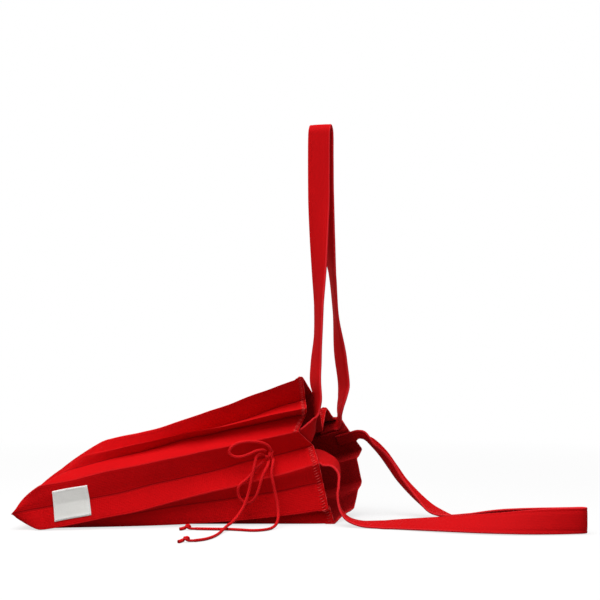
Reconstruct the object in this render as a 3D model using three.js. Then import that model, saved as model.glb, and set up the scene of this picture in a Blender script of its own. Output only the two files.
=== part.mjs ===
// A pleated knit tote bag that lies on its back panel. One handle stands up, the other lies on the floor,
// and a thin tie cord is knotted in a bow on the near gusset.
// Millimetres, +Z up. X runs from the bottom seam to the mouth and Y from the near gusset to the far one.
// The origin is on the floor, under the centre crease of the back panel.
import * as THREE from 'three';

// Driving dimensions of the bag
const BAG_LENGTH = 330;
const FACET_WIDTH = 30;
const LEAST_FOLD = 2;
const WALL = 1.6;
const FOLD_BEVEL = 1.3;
const LEAST_MITRE = 1 / 3;
const HEM_WIDTH = 9;
const HEM_EXTRA = 0.5;
const SEAM_NEAR = [-282, -80, 16];
const SEAM_FAR = [-250, 95, 14];
const SEAM_HALF_THICKNESS = 1.5;
const LINING_START = 0.055;
const SHOULDER = 0.12;
const SHOULDER_SOFTNESS = 0.015;
const SHOULDER_BULGE = 0.6;

// Driving dimensions of what is sewn and tied on
const STRAP_WIDTH = 25;
const STRAP_THICKNESS = 2.4;
const STRAP_SEWN = 16;
const SEWN_PLACE = 0.37;
const FAR_SEWN_WIDTH = 14;
const FAR_SEWN_INSET = 12;
const NEAR_SEWN_INSET = 10;
const LOWER_NEAR_WIDTH = 22;
const UPPER_FAR_PLACE = 0.33;
const LOWER_FAR_PLACE = 0.26;
const STRAP_STEPS = 3;
const LABEL_START = 0.164;
const LABEL_END = 0.278;
const LABEL_HALF_HEIGHT = 15.5;
const LABEL_QUARTER_HEIGHT = 8;
const LABEL_BEND = 1.5;
const LABEL_THICKNESS = 0.8;
const LABEL_SLANT = 0.16;
const CORD_DIAMETER = 3;
const CORD_SIDES = 8;
const BOW_KNOT_AT = [-30, -36, 69.5];
const BOW_KNOT_RADII = [5.5, 4.2, 5];
const END_KNOT_RADII = [6.5, 2.9, 2.9];
const FRONT_KNOT_AT = [-105.2, -165.6, 2.9];
const REAR_KNOT_AT = [-109.2, -76.4, 2.9];
const KNOT_GROOVE = 0.12;
const KNOT_GROOVE_WIDTH = 0.18;
const GAP = 0.3;

// A ridge runs from the bottom seam over its shoulder to the rim. rise bends the run from shoulder to rim,
// and liftFrom is the share of that run that stays level with the shoulder.
const RIDGES = [
  { shoulder: [-254, -76, 44], rim: [-2.5, -34, 93.5] },
  { shoulder: [-215, -48, 71], rim: [6, -35, 117] },
  { shoulder: [-198, -22, 84.5], rim: [2, -32, 148], rise: 1.22 },
  { shoulder: [-190, 25, 78], rim: [18, 20, 119] },
  { shoulder: [-205, 58, 62], rim: [27, 43, 113] },
  { shoulder: [-225, 88, 42], rim: [42, 68, 101] },
  { shoulder: [-225, 92, 2], rim: [65, 68, 67], rise: 1.45 },
  { shoulder: [-222, 62, 0], rim: [64, 51, 34], rise: 2.5 },
  { shoulder: [-225, 28, 0], rim: [55, 27, 9], liftFrom: 0.92 },
  { shoulder: [-235, -28, 0], rim: [34, -26, 0] },
  { shoulder: [-245, -58, 0], rim: [28, -32, 15], rise: 3 },
  { shoulder: [-255, -80, 0], rim: [18, -34, 62], rise: 1.22 },
];

// Valley i lies between ridges i and i + 1. Its depths at the shoulder and at the rim are shares of a full
// fold, grow bends the run between them, and growFrom is the share of that run that stays as at the shoulder.
// Its place from ridge i to the next is lean at the shoulder and rimLean at the rim, with leanBow more
// halfway between. At the rim it stands ahead by so many millimetres of the ridges beside it.
const VALLEYS = [
  { shoulder: 0.45, rim: 0.9, lean: 0.55, rimLean: 0.62, leanBow: 0.45, ahead: 3 },
  { shoulder: 0.45, rim: 0.9, lean: 0.42, rimLean: 0.3, leanBow: 0.06 },
  { shoulder: 0.15, rim: 0.1 },
  { shoulder: 0.5, rim: 0.9 },
  { shoulder: 0.5, rim: 0.25 },
  { shoulder: 0.35, rim: 0.9, rimLean: 0.33 },
  { shoulder: 0.3, rim: 0.85, ahead: -6 },
  { shoulder: 0.2, rim: 0.4 },
  { shoulder: 0, rim: 0.3, growFrom: 0.92 },
  { shoulder: 0.2, rim: 0.45, grow: 8, rimLean: 0.75 },
  { shoulder: 0.1, rim: 0.4, lean: 0.75, rimLean: 0.57 },
  { shoulder: 0.35, rim: 0.9, ahead: 5 },
];

// Folds are numbered round the bag, a ridge and then a valley in turn, from the front panel's near edge.
const FOLDS = RIDGES.length * 2;
const FAR_CREASE = 11;
const NEAR_CREASE = FOLDS - 1;
const FRONT_NEAR_EDGE = 0;
const FRONT_FAR_EDGE = 10;
const BACK_FAR_EDGE = 12;
const BACK_NEAR_EDGE = 22;

// Where the rows of the wall lie, as shares of the length from the seam to the rim
const HEM_START = 1 - HEM_WIDTH / BAG_LENGTH;
const ROWS = [
  0, 0.025, LINING_START, 0.075, 0.1, 0.12, 0.145, 0.18, 0.23, 0.3, 0.37, 0.44,
  0.51, 0.58, 0.65, 0.72, 0.79, 0.85, 0.9, 0.94, HEM_START - 0.003, HEM_START, 1,
];

const knitRed = new THREE.MeshStandardMaterial({ color: 0xc40a12, roughness: 0.85, metalness: 0 });
const strapRed = new THREE.MeshStandardMaterial({ color: 0xc80c14, roughness: 0.8, metalness: 0 });
const cordRed = new THREE.MeshStandardMaterial({ color: 0xb80a12, roughness: 0.8, metalness: 0 });
const labelWhite = new THREE.MeshStandardMaterial({ color: 0xf2f1ee, roughness: 0.9, metalness: 0 });

const along = new THREE.Vector3(1, 0, 0);
const vector = (p) => new THREE.Vector3(p[0], p[1], p[2]);
const between = (a, b, share) => a.clone().lerp(b, share);

// The fold's place on the bottom seam: the front panel's folds lie above the back panel's.
function seamPoint(fold) {
  const near = vector(SEAM_NEAR);
  const far = vector(SEAM_FAR);
  if (fold === NEAR_CREASE) return near;
  if (fold === FAR_CREASE) return far;
  const front = fold < FAR_CREASE;
  const share = (front ? fold + 1 : NEAR_CREASE - fold) / RIDGES.length;
  const point = between(near, far, share);
  point.z += front ? SEAM_HALF_THICKNESS : -SEAM_HALF_THICKNESS;
  return point;
}

function sharpRidge(index, share) {
  const { shoulder, rim, rise = 1, liftFrom = 0 } = RIDGES[index];
  if (share < SHOULDER) {
    const seam = seamPoint(index * 2);
    const slope = between(seam, vector(shoulder), share / SHOULDER);
    slope.z = seam.z + (shoulder[2] - seam.z) * (share / SHOULDER) ** SHOULDER_BULGE;
    return slope;
  }
  const run = (share - SHOULDER) / (1 - SHOULDER);
  const point = between(vector(shoulder), vector(rim), run);
  const lifted = Math.max(0, (run - liftFrom) / (1 - liftFrom));
  point.z = shoulder[2] + (rim[2] - shoulder[2]) * lifted ** rise;
  return point;
}

// A ridge with its shoulder rounded off
function ridgePoint(index, share) {
  const reach = Math.min(SHOULDER_SOFTNESS, share, 1 - share);
  const point = sharpRidge(index, share).multiplyScalar(2);
  point.add(sharpRidge(index, share - reach));
  point.add(sharpRidge(index, share + reach));
  return point.multiplyScalar(0.25);
}

// A valley keeps the facets on both sides of it near their full width.
function valleyPoint(index, share) {
  const valley = VALLEYS[index];
  const { shoulder, rim, grow = 1, growFrom = 0, ahead = 0 } = valley;
  const { lean = 0.5, rimLean = lean, leanBow = 0 } = valley;
  const low = ridgePoint(index, share);
  const high = ridgePoint((index + 1) % RIDGES.length, share);
  const span = high.clone().sub(low);
  const run = Math.max(0, (share - SHOULDER) / (1 - SHOULDER));
  const grown = Math.max(0, (run - growFrom) / (1 - growFrom)) ** grow;
  const depth = shoulder + (rim - shoulder) * grown;
  const full = Math.sqrt(Math.max(LEAST_FOLD ** 2, FACET_WIDTH ** 2 - span.lengthSq() / 4));
  const inward = span.clone().cross(along).normalize();
  const place = lean + (rimLean - lean) * grown + leanBow * 4 * run * (1 - run);
  const point = between(low, high, place).addScaledVector(inward, full * depth);
  point.x += ahead * run;
  const opened = THREE.MathUtils.smoothstep(share, 0, SHOULDER);
  return between(seamPoint(index * 2 + 1), point, opened);
}

function foldPoint(fold, share) {
  const index = Math.floor(fold / 2);
  return fold % 2 ? valleyPoint(index, share) : ridgePoint(index, share);
}

// The direction into the bag of the facet between a fold and the next one
function facetInward(fold, share) {
  const step = 0.01;
  const here = foldPoint(fold, share);
  const next = foldPoint((fold + 1) % FOLDS, share);
  const lower = foldPoint(fold, Math.max(0, share - step));
  const upper = foldPoint(fold, Math.min(1, share + step));
  return next.sub(here).cross(upper.sub(lower)).normalize();
}

// One row of the wall: the folds, moved inward by depth, with two points at each so that its edge is soft.
// Nothing goes below the floor.
function wallRow(share, depth) {
  const sharp = [];
  for (let fold = 0; fold < FOLDS; fold++) {
    const before = facetInward((fold + FOLDS - 1) % FOLDS, share);
    const after = facetInward(fold, share);
    const mitre = before.clone().add(after).normalize();
    const reach = 1 / Math.max(LEAST_MITRE, mitre.dot(after));
    sharp.push(foldPoint(fold, share).addScaledVector(mitre, depth * reach));
  }
  const row = [];
  for (let fold = 0; fold < FOLDS; fold++) {
    const here = sharp[fold];
    for (const side of [FOLDS - 1, 1]) {
      const towards = sharp[(fold + side) % FOLDS].clone().sub(here);
      const bevel = Math.min(FOLD_BEVEL, towards.length() / 3);
      const point = here.clone().addScaledVector(towards.normalize(), bevel);
      point.z = Math.max(point.z, 0);
      row.push(point);
    }
  }
  return row;
}

function meshFrom(name, points, triangles, material) {
  const geometry = new THREE.BufferGeometry();
  const places = points.flatMap((point) => point.toArray());
  geometry.setAttribute('position', new THREE.Float32BufferAttribute(places, 3));
  geometry.setIndex(triangles);
  geometry.computeVertexNormals();
  const mesh = new THREE.Mesh(geometry, material);
  mesh.name = name;
  return mesh;
}

// The wall of the bag: an outer and an inner skin, joined at the rim and each closed along the bottom seam
function bagBody() {
  const outer = ROWS.map((share) => wallRow(share, share >= HEM_START ? -HEM_EXTRA : 0));
  const inner = ROWS.filter((share) => share >= LINING_START).map((share) => wallRow(share, WALL));
  const columns = FOLDS * 2;
  const points = [...outer.flat(), ...inner.flat()];
  const innerStart = outer.length * columns;
  const triangles = [];
  const quad = (a, b, c, d) => triangles.push(a, b, c, a, c, d);
  const skin = (start, rows, inside) => {
    for (let row = 0; row + 1 < rows; row++) {
      for (let column = 0; column < columns; column++) {
        const a = start + row * columns + column;
        const b = start + row * columns + ((column + 1) % columns);
        if (inside) quad(a, b, b + columns, a + columns);
        else quad(b, a, a + columns, b + columns);
      }
    }
    // The seam is closed by a strip from the front panel's points to the back panel's. Inside, where the
    // gusset creases dip into the bag, a fan at each end of the strip leads round them.
    const half = columns / 2;
    const pairs = [];
    for (let step = -1; step < half - 1; step++) {
      const skipped = inside && [0, 1, half - 4, half - 3].includes(step);
      if (!skipped) pairs.push([(step + columns) % columns, columns - 3 - step]);
    }
    for (let step = 0; step + 1 < pairs.length; step++) {
      const [upper, lower] = pairs[step].map((column) => start + column);
      const [nextUpper, nextLower] = pairs[step + 1].map((column) => start + column);
      if (inside) quad(nextUpper, upper, lower, nextLower);
      else quad(upper, nextUpper, nextLower, lower);
    }
    if (inside) {
      const fans = [[columns - 1, 0], [columns - 2, columns - 5], [half - 2, half - 5], [half - 1, half]];
      for (const [apex, first] of fans) {
        triangles.push(start + apex, start + first + 1, start + first);
        triangles.push(start + apex, start + first + 2, start + first + 1);
      }
    }
  };
  skin(0, outer.length, false);
  skin(innerStart, inner.length, true);
  const outerRim = (outer.length - 1) * columns;
  const innerRim = innerStart + (inner.length - 1) * columns;
  for (let column = 0; column < columns; column++) {
    const next = (column + 1) % columns;
    quad(outerRim + next, outerRim + column, innerRim + column, innerRim + next);
  }
  return meshFrom('bag_body', points, triangles, knitRed);
}

// A strap's end, sewn flat inside the mouth between the gusset's crease and a panel's edge: the sewn end
// and where it leaves the gusset
function sewnEnd(creaseFold, edgeFold, { leaves = 0, width = STRAP_WIDTH, place = SEWN_PLACE, turn = 1 }) {
  return [leaves + STRAP_SEWN, leaves].map((inset) => {
    const share = 1 - inset / BAG_LENGTH;
    const crease = foldPoint(creaseFold, share);
    const edge = foldPoint(edgeFold, share);
    const facet = (creaseFold + 1) % FOLDS === edgeFold ? creaseFold : edgeFold;
    const inward = facetInward(facet, share);
    const at = between(crease, edge, place);
    at.addScaledVector(inward, WALL + 2 * GAP + STRAP_THICKNESS / 2);
    const across = edge.sub(crease).normalize().multiplyScalar(turn);
    return { at: at.toArray(), across: across.toArray(), width };
  });
}

// Each place on a handle: the middle of the strap, the direction across it and its width where it is
// gathered
const UPPER_HANDLE = [
  ...sewnEnd(NEAR_CREASE, FRONT_NEAR_EDGE, { leaves: NEAR_SEWN_INSET }),
  { at: [5, -19.6, 87.8], across: [-0.45, -0.7, 0.55] },
  { at: [9.2, -18, 92.3], across: [-0.36, -0.8, 0.5] },
  { at: [12.8, -15.5, 97], across: [-0.22, -0.88, 0.42] },
  { at: [15.2, -12.5, 102.5], across: [0, -0.95, 0.3] },
  { at: [16.8, -11, 109.5], across: [0.18, -0.97, 0.15] },
  { at: [17.1, -11, 117], across: [0.24, -0.96, 0.06] },
  { at: [17.9, -12.5, 126], across: [0.28, -0.95, 0] },
  { at: [15.7, -11.5, 143], across: [0.4, -0.92, 0] },
  { at: [16.4, -8.5, 162], across: [0.38, -0.92, 0] },
  { at: [18.5, -8.5, 190], across: [0.28, -0.96, 0] },
  { at: [19.2, -7, 220], across: [0.33, -0.94, 0] },
  { at: [19.5, -3, 255], across: [0.55, -0.83, 0] },
  { at: [19.3, 2, 290], across: [0.72, -0.69, 0] },
  { at: [19.3, 7, 330], across: [0.86, -0.5, 0] },
  { at: [19.3, 10, 370], across: [0.88, -0.47, 0] },
  { at: [19.5, 11, 392], across: [0.88, -0.47, 0] },
  { at: [20, 11.8, 400], across: [0.88, -0.47, 0] },
  { at: [21.3, 14.5, 404], across: [0.88, -0.47, 0] },
  { at: [22.8, 17.4, 400], across: [0.88, -0.47, 0] },
  { at: [23.3, 18.4, 392], across: [0.88, -0.47, 0] },
  { at: [23.4, 19.5, 370], across: [0.88, -0.47, 0] },
  { at: [24.5, 21.5, 330], across: [0.83, -0.55, 0] },
  { at: [28.5, 25, 285], across: [0.58, -0.81, 0] },
  { at: [33.5, 30, 252], across: [0.22, -0.97, 0] },
  { at: [37, 39, 213], across: [0.14, -0.99, 0] },
  { at: [42.5, 48, 165], across: [0.45, -0.89, 0] },
  { at: [45.9, 49, 135], across: [0.42, -0.9, 0] },
  { at: [44.6, 47.3, 124], across: [0.3, -0.95, -0.05] },
  { at: [42.6, 46.6, 115], across: [0.2, -0.96, -0.2], width: 23 },
  { at: [41.5, 46.6, 107.5], across: [0.15, -0.93, -0.33], width: 20 },
  { at: [41.4, 47.2, 102], across: [0.15, -0.9, -0.42], width: 17 },
  { at: [40.7, 49.4, 97.4], across: [0.18, -0.85, -0.48], width: FAR_SEWN_WIDTH },
  { at: [38.7, 52.4, 94.4], across: [0.28, -0.81, -0.5], width: FAR_SEWN_WIDTH },
  ...sewnEnd(FAR_CREASE, FRONT_FAR_EDGE, {
    leaves: FAR_SEWN_INSET, width: FAR_SEWN_WIDTH, place: UPPER_FAR_PLACE, turn: -1,
  }).reverse(),
];

const LOWER_HANDLE = [
  ...sewnEnd(NEAR_CREASE, BACK_NEAR_EDGE, { leaves: NEAR_SEWN_INSET, width: LOWER_NEAR_WIDTH }),
  { at: [20, -19.2, 66.8], across: [0.12, -0.82, -0.55], width: LOWER_NEAR_WIDTH },
  { at: [27.5, -20.8, 63], across: [0.02, -0.87, -0.49] },
  { at: [34.5, -24.5, 57.5], across: [0, -0.95, -0.3] },
  { at: [38.5, -29, 49], across: [0, -1, -0.05] },
  { at: [38.3, -33, 39], across: [0, -1, 0] },
  { at: [37.5, -36, 29], across: [0, -1, 0] },
  { at: [40, -38.5, 17], across: [0, -1, 0] },
  { at: [47.5, -43, 8], across: [0, -1, -0.05] },
  { at: [60, -49, 3.6], across: [0.1, -0.98, -0.08] },
  { at: [80, -56, 3.2], across: [0.1, -0.98, -0.12] },
  { at: [99, -64, 4.6], across: [-0.2, -0.94, -0.24] },
  { at: [144, -87.5, 7.8], across: [-0.4, -0.78, -0.48] },
  { at: [192, -105.5, 10.6], across: [-0.15, -0.68, -0.72] },
  { at: [236, -110.5, 12.7], across: [0, -0.35, -0.94] },
  { at: [264, -109, 13.3], across: [0, -0.12, -0.99] },
  { at: [271.5, -107.8, 13.4], across: [0, 0, -1] },
  { at: [275, -104.5, 13.4], across: [0, 0, -1] },
  { at: [271.5, -101.2, 13.4], across: [0, 0, -1] },
  { at: [262, -100.5, 13.3], across: [0, 0.1, -0.99] },
  { at: [236, -96, 12.8], across: [0.05, 0.25, -0.97] },
  { at: [206, -78, 11.3], across: [0.3, 0.45, -0.82] },
  { at: [178, -42, 7.4], across: [0.66, 0.58, -0.45] },
  { at: [154.5, -6, 4.4], across: [0.75, 0.63, -0.2] },
  { at: [141, 14, 6], across: [0.72, 0.68, -0.1] },
  { at: [127, 31, 14.5], across: [0.65, 0.76, 0.06] },
  { at: [105.5, 51, 36.3], across: [0.5, 0.84, 0.2] },
  { at: [96, 56.5, 49.8], across: [0.44, 0.87, 0.22] },
  { at: [86.8, 59, 62.5], across: [0.37, 0.92, 0.1] },
  { at: [76.5, 57.5, 73.5], across: [0.32, 0.9, -0.3] },
  { at: [67.5, 54.5, 80.8], across: [0.34, 0.72, -0.6], width: 20 },
  { at: [61, 52, 83.3], across: [0.42, 0.62, -0.66], width: FAR_SEWN_WIDTH },
  ...sewnEnd(FAR_CREASE, BACK_FAR_EDGE, { width: FAR_SEWN_WIDTH, place: LOWER_FAR_PLACE }).reverse(),
];

// A flat strap with rounded edges, swept through its places
function strap(name, places) {
  const middle = new THREE.CatmullRomCurve3(places.map((p) => vector(p.at)), false, 'centripetal');
  const across = new THREE.CatmullRomCurve3(places.map((p) => vector(p.across)), false, 'centripetal');
  const widthAt = (t) => {
    const scaled = t * (places.length - 1);
    const index = Math.min(Math.floor(scaled), places.length - 2);
    const { width: here = STRAP_WIDTH } = places[index];
    const { width: next = STRAP_WIDTH } = places[index + 1];
    return here + (next - here) * (scaled - index);
  };
  const steps = (places.length - 1) * STRAP_STEPS;
  const points = [];
  const triangles = [];
  for (let step = 0; step <= steps; step++) {
    const t = step / steps;
    const tangent = middle.getTangent(t);
    const side = across.getPoint(t);
    side.addScaledVector(tangent, -side.dot(tangent)).normalize();
    const normal = side.clone().cross(tangent);
    for (const [x, y] of strapSection(widthAt(t))) {
      const point = middle.getPoint(t).addScaledVector(side, x).addScaledVector(normal, y);
      point.z = Math.max(point.z, 0);
      points.push(point);
    }
  }
  const sides = points.length / (steps + 1);
  for (let step = 0; step < steps; step++) {
    for (let side = 0; side < sides; side++) {
      const a = step * sides + side;
      const b = step * sides + ((side + 1) % sides);
      if (side < sides / 2) triangles.push(b, a, a + sides, b, a + sides, b + sides);
      else triangles.push(b, a, b + sides, a, a + sides, b + sides);
    }
  }
  const last = steps * sides;
  for (let side = 1; side + 1 < sides; side++) {
    triangles.push(0, side, side + 1);
    triangles.push(last, last + side + 1, last + side);
  }
  return meshFrom(name, points, triangles, strapRed);
}

function strapSection(width) {
  const half = width / 2;
  const thick = STRAP_THICKNESS / 2;
  const round = thick * 0.6;
  return [
    [half - round, -thick], [half, -thick + round], [half, thick - round], [half - round, thick],
    [round - half, thick], [-half, thick - round], [-half, round - thick], [round - half, -thick],
  ];
}

// The label lies over the near gusset's crease and bends with it.
function label() {
  const upperHeights = [LABEL_BEND, LABEL_QUARTER_HEIGHT, LABEL_HALF_HEIGHT];
  const heights = [...upperHeights.map((height) => -height).reverse(), ...upperHeights];
  const lengthSteps = 5;
  const points = [];
  for (const lift of [GAP, GAP + LABEL_THICKNESS]) {
    for (let step = 0; step <= lengthSteps; step++) {
      for (const height of heights) {
        const start = LABEL_START + ((LABEL_END - LABEL_START) * step) / lengthSteps;
        const share = start - (LABEL_SLANT * height) / BAG_LENGTH;
        const upper = height > 0;
        const crease = foldPoint(NEAR_CREASE, share);
        const edge = foldPoint(upper ? FRONT_NEAR_EDGE : BACK_NEAR_EDGE, share);
        const outward = facetInward(upper ? NEAR_CREASE : BACK_NEAR_EDGE, share).negate();
        const point = crease.clone().addScaledVector(edge.sub(crease).normalize(), Math.abs(height));
        points.push(point.addScaledVector(outward, lift));
      }
    }
  }
  const across = heights.length;
  const layer = across * (lengthSteps + 1);
  const triangles = [];
  const quad = (a, b, c, d) => triangles.push(a, b, c, a, c, d);
  for (let step = 0; step < lengthSteps; step++) {
    for (let column = 0; column + 1 < across; column++) {
      const a = step * across + column;
      quad(a, a + 1, a + 1 + across, a + across);
      quad(a + 1 + layer, a + layer, a + across + layer, a + 1 + across + layer);
    }
  }
  const edge = [];
  for (let column = 0; column < across; column++) edge.push(column);
  for (let step = 1; step <= lengthSteps; step++) edge.push(step * across + across - 1);
  for (let column = across - 2; column >= 0; column--) edge.push(lengthSteps * across + column);
  for (let step = lengthSteps - 1; step > 0; step--) edge.push(step * across);
  edge.forEach((a, index) => {
    const b = edge[(index + 1) % edge.length];
    quad(b, a, a + layer, b + layer);
  });
  return meshFrom('label', points, triangles, labelWhite);
}

// A round cord along a route
function cord(name, route, steps) {
  const shape = new THREE.Shape();
  for (let side = 0; side < CORD_SIDES; side++) {
    const angle = (side / CORD_SIDES) * Math.PI * 2;
    const x = (Math.cos(angle) * CORD_DIAMETER) / 2;
    const y = (Math.sin(angle) * CORD_DIAMETER) / 2;
    if (side) shape.lineTo(x, y);
    else shape.moveTo(x, y);
  }
  const extrudePath = new THREE.CatmullRomCurve3(route.map(vector), false, 'centripetal');
  const geometry = new THREE.ExtrudeGeometry(shape, { steps, extrudePath, bevelEnabled: false });
  const mesh = new THREE.Mesh(geometry, cordRed);
  mesh.name = name;
  return mesh;
}

// A pulled-tight knot: two turns of cord round a core
function knot(name, at, radii) {
  const profile = [];
  const rings = 12;
  for (let ring = 0; ring <= rings; ring++) {
    const angle = (ring / rings - 0.5) * Math.PI;
    const groove = 1 - KNOT_GROOVE * Math.exp(-((Math.sin(angle) / KNOT_GROOVE_WIDTH) ** 2));
    const end = ring === 0 || ring === rings;
    profile.push(new THREE.Vector2(end ? 0 : Math.cos(angle) * groove, Math.sin(angle)));
  }
  const geometry = new THREE.LatheGeometry(profile, 12);
  geometry.rotateZ(Math.PI / 2);
  geometry.scale(radii[0], radii[1], radii[2]);
  const mesh = new THREE.Mesh(geometry, cordRed);
  mesh.name = name;
  mesh.position.set(at[0], at[1], at[2]);
  return mesh;
}

// Routes of the tie cord, each from the bow's knot
const TIE_STEM = [[-30, -25.6, 68], [-30, -28.5, 68.5], [-30, -31.4, 69]];
const UPPER_LOOP = [
  [-29, -40, 75.2], [-31, -42.5, 79], [-36, -46, 82.6], [-46.6, -49, 84.6], [-60.6, -51, 83.4],
  [-68, -51.5, 79], [-70, -51.5, 74.3], [-66.4, -51, 70.4], [-59, -50.5, 69.6], [-50, -50, 72.4],
  [-43, -48.5, 75.4], [-37, -45, 76], [-34.4, -41.6, 74.6],
];
const LOWER_LOOP = [
  [-31, -41, 64.2], [-32.3, -45, 60.1], [-35.2, -49, 54.9], [-37.6, -51, 48.7], [-40, -52, 40.5],
  [-42.5, -52, 33.2], [-46.7, -50, 26.3], [-52.1, -47.8, 23.3], [-57.6, -48, 26], [-61, -49, 31.9],
  [-61, -50.6, 38.7], [-58.2, -50.4, 43.2], [-53.3, -48, 46.8], [-47.7, -45.5, 52.6], [-41.8, -43, 59.3],
  [-36.5, -40.5, 64],
];
const FRONT_TAIL = [
  [-36.2, -38.4, 70], [-39.5, -42.5, 71.5], [-43, -47, 69.5], [-45.4, -50, 60], [-47.9, -51.5, 48.7],
  [-49.9, -52.2, 38.8], [-52, -53, 30.7], [-55.6, -55, 21], [-60.4, -59.5, 13.5], [-65.5, -68, 8],
  [-70.5, -79, 5.2], [-74, -92, 3.2], [-77.2, -109, 1.7], [-82, -135, 1.6], [-89, -153, 1.6],
  [-97.5, -163, 1.7],
];
const REAR_TAIL = [
  [-26.5, -40.2, 66.4], [-27, -44, 62], [-28.2, -48, 53.3], [-26.6, -49, 43.4], [-24.5, -49, 33.5],
  [-22.4, -50, 23.7], [-21.5, -53.5, 13.5], [-22.5, -60.5, 6], [-27, -72, 2.2], [-36, -85, 1.6],
  [-46, -89, 1.6], [-58, -84, 1.6], [-70, -79.5, 1.6], [-86, -78, 1.6], [-102, -76.5, 1.7],
];

const bag = new THREE.Group();
bag.add(
  bagBody(),
  strap('upper_handle', UPPER_HANDLE),
  strap('lower_handle', LOWER_HANDLE),
  label(),
  cord('tie_stem', TIE_STEM, 2),
  knot('bow_knot', BOW_KNOT_AT, BOW_KNOT_RADII),
  cord('bow_loop_upper', UPPER_LOOP, 16),
  cord('bow_loop_lower', LOWER_LOOP, 17),
  cord('tie_tail_front', FRONT_TAIL, 22),
  cord('tie_tail_rear', REAR_TAIL, 22),
  knot('end_knot_front', FRONT_KNOT_AT, END_KNOT_RADII),
  knot('end_knot_rear', REAR_KNOT_AT, END_KNOT_RADII),
);

export default bag;
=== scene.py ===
import math

import bpy
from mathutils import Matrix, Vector, noise


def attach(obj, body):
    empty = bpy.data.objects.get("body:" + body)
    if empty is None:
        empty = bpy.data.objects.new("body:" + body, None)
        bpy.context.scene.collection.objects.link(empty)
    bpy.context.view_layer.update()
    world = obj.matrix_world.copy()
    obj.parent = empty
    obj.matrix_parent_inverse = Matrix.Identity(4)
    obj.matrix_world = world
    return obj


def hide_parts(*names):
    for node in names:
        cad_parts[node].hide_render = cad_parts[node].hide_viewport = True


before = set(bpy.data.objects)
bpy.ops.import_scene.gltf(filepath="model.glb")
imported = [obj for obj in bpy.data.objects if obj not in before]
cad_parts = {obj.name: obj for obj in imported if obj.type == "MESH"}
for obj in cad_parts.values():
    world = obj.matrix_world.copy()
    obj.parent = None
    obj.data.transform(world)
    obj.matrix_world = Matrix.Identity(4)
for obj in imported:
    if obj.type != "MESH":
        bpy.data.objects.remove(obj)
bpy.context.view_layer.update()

# A pleated knit tote bag that lies on its back panel. One handle stands up, the other lies on the floor,
# and a thin tie cord is knotted in a bow on the near gusset.
# Shapes are worked out in millimetres, in the frame of the solid model, and made in metres. X runs from
# the bottom seam to the mouth, and Y from the near gusset to the far one.
MM = 0.001
ALONG = Vector((1, 0, 0))
UP = Vector((0, 0, 1))

# The bag's wall. A share of the bag's length is 0 at the bottom seam and 1 at the rim.
BAG_LENGTH = 330
FACET_WIDTH = 30
LEAST_FOLD = 2
WALL = 1.6
LEAST_MITRE = 1 / 3
SEAM_NEAR = Vector((-282, -80, 16))
SEAM_FAR = Vector((-250, 95, 14))
SEAM_HALF_THICKNESS = 1.5
SHOULDER = 0.12
SHOULDER_SOFTNESS = 0.015
SHOULDER_BULGE = 0.6
HEM_WIDTH = 9
HEM_START = 1 - HEM_WIDTH / BAG_LENGTH
HEM_STEP = 0.004
HEM_OUTSIDE = 0.5
HEM_INSIDE = 0.4
RIM = 1 + 0.7 / BAG_LENGTH
RIM_DEPTHS = (-0.1, WALL - 0.5)
LINING_START = 0.055
LINING_END = HEM_START - 0.02
FACET_STEP = 0.01

# Ridges of the pleats, each with its shoulder near the bottom seam, its rim at the mouth, how its rise
# bends, and the share of its run that stays level with the shoulder
RIDGES = [
    ((-254, -76, 44), (-2.5, -34, 93.5), 1, 0),
    ((-215, -48, 71), (6, -35, 117), 1, 0),
    ((-198, -22, 84.5), (2, -32, 148), 1.22, 0),
    ((-190, 25, 78), (18, 20, 119), 1, 0),
    ((-205, 58, 62), (27, 43, 113), 1, 0),
    ((-225, 88, 42), (42, 68, 101), 1, 0),
    ((-225, 92, 2), (65, 68, 67), 1.45, 0),
    ((-222, 62, 0), (64, 51, 34), 2.5, 0),
    ((-225, 28, 0), (55, 27, 9), 1, 0.92),
    ((-235, -28, 0), (34, -26, 0), 1, 0),
    ((-245, -58, 0), (28, -32, 15), 3, 0),
    ((-255, -80, 0), (18, -34, 62), 1.22, 0),
]

# Valleys between a ridge and the next: the depth at the shoulder and at the rim as shares of a full fold,
# how it grows between them, the share of the run that stays as at the shoulder, the place between the two
# ridges at the shoulder, at the rim, and how much more halfway, and how far the rim stands ahead of theirs.
# The last one is the near gusset's crease, which is shallow at the shoulder because the label holds it.
VALLEYS = [
    (0.45, 0.9, 1, 0, 0.55, 0.62, 0.45, 3),
    (0.45, 0.9, 1, 0, 0.42, 0.3, 0.06, 0),
    (0.15, 0.1, 1, 0, 0.5, 0.5, 0, 0),
    (0.5, 0.9, 1, 0, 0.5, 0.5, 0, 0),
    (0.5, 0.25, 1, 0, 0.5, 0.5, 0, 0),
    (0.35, 0.9, 1, 0, 0.5, 0.33, 0, 0),
    (0.3, 0.85, 1, 0, 0.5, 0.5, 0, -6),
    (0.2, 0.4, 1, 0, 0.5, 0.5, 0, 0),
    (0, 0.3, 1, 0.92, 0.5, 0.5, 0, 0),
    (0.2, 0.45, 8, 0, 0.5, 0.75, 0, 0),
    (0.1, 0.4, 1, 0, 0.75, 0.57, 0, 0),
    (0.15, 0.9, 1, 0, 0.5, 0.5, 0, 5),
]

# Folds are numbered round the bag. Even ones are ridges and odd ones are valleys.
FOLDS = 2 * len(RIDGES)
FAR_CREASE = 11
NEAR_CREASE = FOLDS - 1
FRONT_NEAR_EDGE = 0
FRONT_FAR_EDGE = 10
BACK_FAR_EDGE = 12
BACK_NEAR_EDGE = 22

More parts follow.
